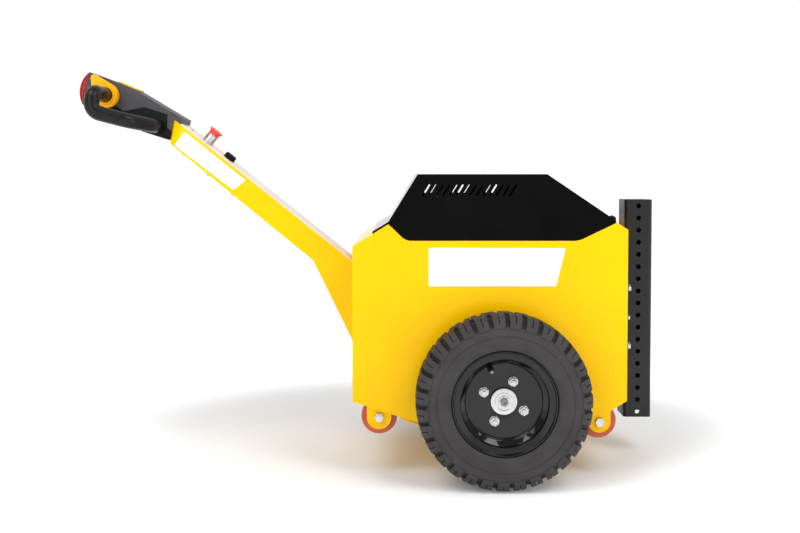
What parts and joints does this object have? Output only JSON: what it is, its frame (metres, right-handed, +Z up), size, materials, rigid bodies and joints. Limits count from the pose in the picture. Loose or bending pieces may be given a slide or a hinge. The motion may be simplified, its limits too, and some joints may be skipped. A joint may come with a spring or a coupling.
{
  "type": "pedestrian electric tow tractor",
  "caption": "Walk-behind electric tow tractor with a yellow sheet-steel body, black vented cover, block-tread drive wheels, guard rollers, a drilled hitch mast and an angled tiller.",
  "frame": {"origin": "midway between the two cross grips of the tiller head, on the mid-plane of the tractor", "axes": "+X forward to the hitch mast, +Y to the tractor's left, +Z up; the floor under the drive wheels is 0.914 m below the origin"},
  "size_m": [1.4536, 0.64, 0.9733],
  "materials": {
    "yellow_paint": "satin",
    "black_powder_coat": "satin",
    "rim_black": "gloss",
    "zinc": "satin",
    "silver_plate": "satin",
    "tyre_rubber": "matte",
    "red_polyurethane": "satin",
    "red_plastic": "gloss",
    "yellow_plastic": "satin",
    "black_plastic": "satin",
    "grey_plastic": "satin",
    "battery_case": "matte",
    "drive_casting": "matte"
  },
  "bodies": {
    "chassis": {"side_plate_right": "yellow_paint", "side_plate_left": "yellow_paint", "rear_panel": "yellow_paint", "front_panel": "yellow_paint", "floor_tray": "yellow_paint", "top_cover": "black_powder_coat", "drive_unit": "drive_casting", "battery_shelf": "yellow_paint", "battery_pack": "battery_case", "mast_post": "black_powder_coat", "mast_cap": "black_powder_coat", "mast_bracket": "black_powder_coat", "tiller_arm": "yellow_paint", "arm_top_plate": "silver_plate", "estop_collar": "silver_plate", "estop_button": "red_plastic", "key_switch": "black_plastic", "head_upper_shell": "grey_plastic", "head_lower_shell": "black_plastic", "belly_button": "red_plastic", "head_strip": "yellow_plastic", "grip_loop_right": "black_plastic", "paddle_right": "yellow_plastic", "front_roller_fork_right": "yellow_paint", "front_roller_pin_right": "zinc", "rear_roller_fork_right": "yellow_paint", "rear_roller_pin_right": "zinc", "grip_loop_left": "black_plastic", "paddle_left": "yellow_plastic", "front_roller_fork_left": "yellow_paint", "front_roller_pin_left": "zinc", "rear_roller_fork_left": "yellow_paint", "rear_roller_pin_left": "zinc"},
    "drive_wheel_right": {"tyre_right": "tyre_rubber", "rim_right": "rim_black", "hub_right": "zinc"},
    "drive_wheel_left": {"tyre_left": "tyre_rubber", "rim_left": "rim_black", "hub_left": "zinc"},
    "guard_roller_front_right": {"front_roller_right": "red_polyurethane"},
    "guard_roller_front_left": {"front_roller_left": "red_polyurethane"},
    "guard_roller_rear_right": {"rear_roller_right": "red_polyurethane"},
    "guard_roller_rear_left": {"rear_roller_left": "red_polyurethane"}
  },
  "joints": [
    {"name": "drive_wheel_right_spin", "type": "hinge", "parent": "chassis", "child": "drive_wheel_right", "pos_m": [0.97289, -0.268, -0.71314], "axis": [0, 1, 0], "continuous": true},
    {"name": "drive_wheel_left_spin", "type": "hinge", "parent": "chassis", "child": "drive_wheel_left", "pos_m": [0.97289, 0.268, -0.71314], "axis": [0, 1, 0], "continuous": true},
    {"name": "guard_roller_front_right_spin", "type": "hinge", "parent": "chassis", "child": "guard_roller_front_right", "pos_m": [1.20939, -0.173, -0.78364], "axis": [0, 1, 0], "continuous": true},
    {"name": "guard_roller_front_left_spin", "type": "hinge", "parent": "chassis", "child": "guard_roller_front_left", "pos_m": [1.20939, 0.173, -0.78364], "axis": [0, 1, 0], "continuous": true},
    {"name": "guard_roller_rear_right_spin", "type": "hinge", "parent": "chassis", "child": "guard_roller_rear_right", "pos_m": [0.68789, -0.173, -0.77364], "axis": [0, 1, 0], "continuous": true},
    {"name": "guard_roller_rear_left_spin", "type": "hinge", "parent": "chassis", "child": "guard_roller_rear_left", "pos_m": [0.68789, 0.173, -0.77364], "axis": [0, 1, 0], "continuous": true}
  ]
}
